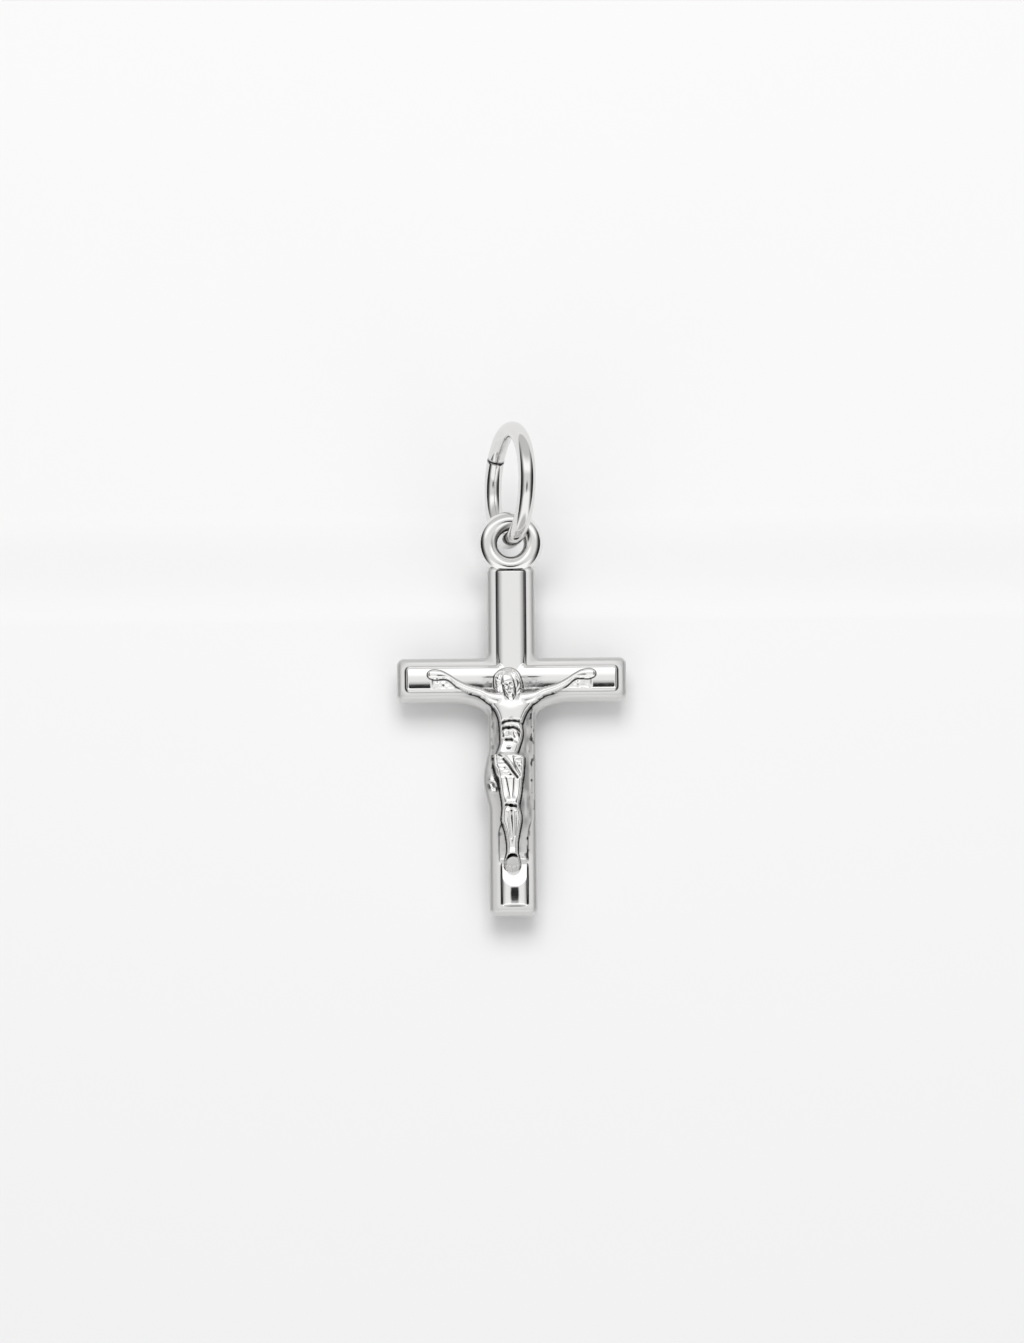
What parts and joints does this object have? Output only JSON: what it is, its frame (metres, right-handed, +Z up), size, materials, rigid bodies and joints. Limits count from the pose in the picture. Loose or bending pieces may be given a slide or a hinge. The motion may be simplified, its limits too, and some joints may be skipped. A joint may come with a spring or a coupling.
{
  "type": "crucifix pendant on a jump ring",
  "caption": "Small cast crucifix pendant with a border band, domed panels and a figure in relief, hung by its round eye on a jump ring.",
  "frame": {"origin": "the lowest point of the inside of the jump ring's top, where the chain bears on the wire", "axes": "+Z up, +X to the right as one faces the figure, so the figure faces -Y and the flat back faces +Y"},
  "size_m": [0.012, 0.0064, 0.0261],
  "materials": {
    "cast_silver": "cast sterling silver, polished bright, with a finer cast grain left in the ground round the figure",
    "wire_silver": "drawn sterling silver wire, polished bright"
  },
  "bodies": {
    "ring": {"jump_ring": "wire_silver"},
    "pendant": {"crucifix": "cast_silver"}
  },
  "joints": [
    {"name": "swing", "type": "hinge", "parent": "ring", "child": "pendant", "pos_m": [0, 0, -0.0054], "axis": [0.309, -0.9511, 0], "range_deg": [-80, 80]}
  ]
}
